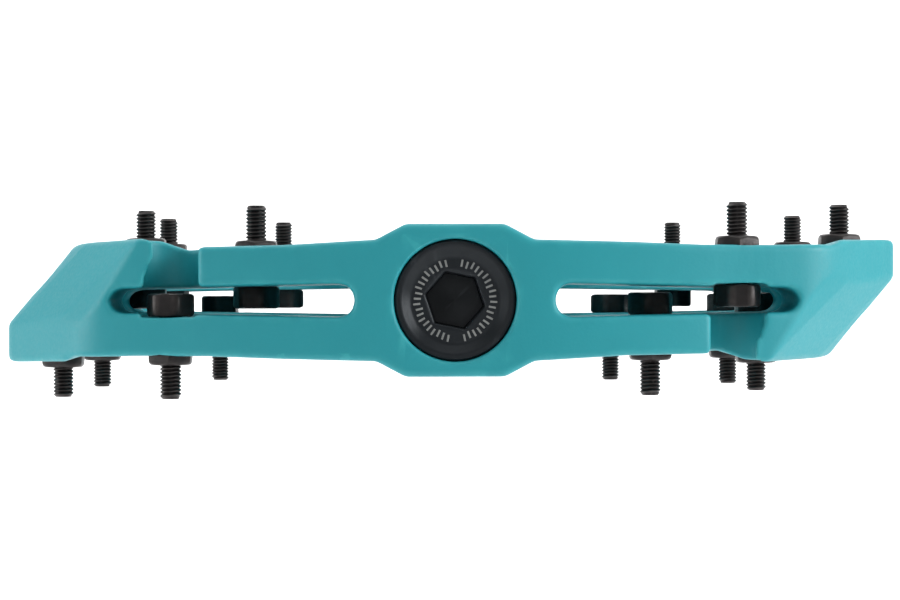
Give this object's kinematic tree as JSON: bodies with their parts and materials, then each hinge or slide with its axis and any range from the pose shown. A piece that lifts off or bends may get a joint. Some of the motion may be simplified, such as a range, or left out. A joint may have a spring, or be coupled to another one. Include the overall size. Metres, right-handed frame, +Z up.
{
  "type": "flat bicycle pedal",
  "caption": "Flat bicycle pedal with a slotted turquoise composite platform, hex-head traction pins with nuts and a sealed spinning axle.",
  "frame": {"origin": "on the axle's axis in the plane of the shoulder that seats against the crank", "axes": "+Y along the axle towards the crank, +X along the platform's length towards the end whose upper deck is the longer one, +Z up out of the upper deck"},
  "size_m": [0.1108, 0.1165, 0.0238],
  "materials": {
    "body_nylon": "fine matte moulded grain",
    "pin_steel": "black oxide, slightly glossy",
    "cap_black": "black anodised, satin",
    "axle_steel": "dark machined chromoly, oiled",
    "bearing_steel": "ground and polished",
    "bushing_polymer": "smooth low-friction polymer",
    "seal_rubber": "matte rubber"
  },
  "bodies": {
    "axle": {"axle": "axle_steel", "axle_washer": "bearing_steel", "axle_locknut": "pin_steel", "bearing_inner_race": "bearing_steel"},
    "platform": {"platform_body": "body_nylon", "pin_a_n1_out": "pin_steel", "nut_a_n1_out": "pin_steel", "pin_a_n1_in": "pin_steel", "nut_a_n1_in": "pin_steel", "pin_a_n2_out": "pin_steel", "nut_a_n2_out": "pin_steel", "pin_a_n2_in": "pin_steel", "nut_a_n2_in": "pin_steel", "pin_a_n3_out": "pin_steel", "nut_a_n3_out": "pin_steel", "pin_a_n3_in": "pin_steel", "nut_a_n3_in": "pin_steel", "pin_a_n4_out": "pin_steel", "nut_a_n4_out": "pin_steel", "pin_a_n4_in": "pin_steel", "nut_a_n4_in": "pin_steel", "pin_b_n1_out": "pin_steel", "nut_b_n1_out": "pin_steel", "pin_b_n1_in": "pin_steel", "nut_b_n1_in": "pin_steel", "pin_b_n2_out": "pin_steel", "nut_b_n2_out": "pin_steel", "pin_b_n2_in": "pin_steel", "nut_b_n2_in": "pin_steel", "pin_b_n3_out": "pin_steel", "nut_b_n3_out": "pin_steel", "pin_b_n3_in": "pin_steel", "nut_b_n3_in": "pin_steel", "pin_b_n4_out": "pin_steel", "nut_b_n4_out": "pin_steel", "pin_b_n4_in": "pin_steel", "nut_b_n4_in": "pin_steel", "bushing": "bushing_polymer", "crank_side_seal": "seal_rubber", "end_cap": "cap_black", "end_cap_oring": "seal_rubber", "bearing_outer_race": "bearing_steel", "bearing_shield_in": "seal_rubber", "bearing_shield_out": "seal_rubber"},
    "ball_cage": {"bearing_cage": "bushing_polymer", "bearing_ball_1": "bearing_steel", "bearing_ball_2": "bearing_steel", "bearing_ball_3": "bearing_steel", "bearing_ball_4": "bearing_steel", "bearing_ball_5": "bearing_steel", "bearing_ball_6": "bearing_steel", "bearing_ball_7": "bearing_steel"}
  },
  "joints": [
    {"name": "platform_spin", "type": "hinge", "parent": "axle", "child": "platform", "pos_m": [0, -0.056, 0], "axis": [0, 1, 0], "continuous": true},
    {"name": "ball_cage_spin", "type": "hinge", "parent": "axle", "child": "ball_cage", "pos_m": [0, -0.08785, 0], "axis": [0, 1, 0], "continuous": true}
  ],
  "couplings": [
    {"joint": "ball_cage_spin", "follows": "platform_spin", "ratio": 0.625}
  ]
}
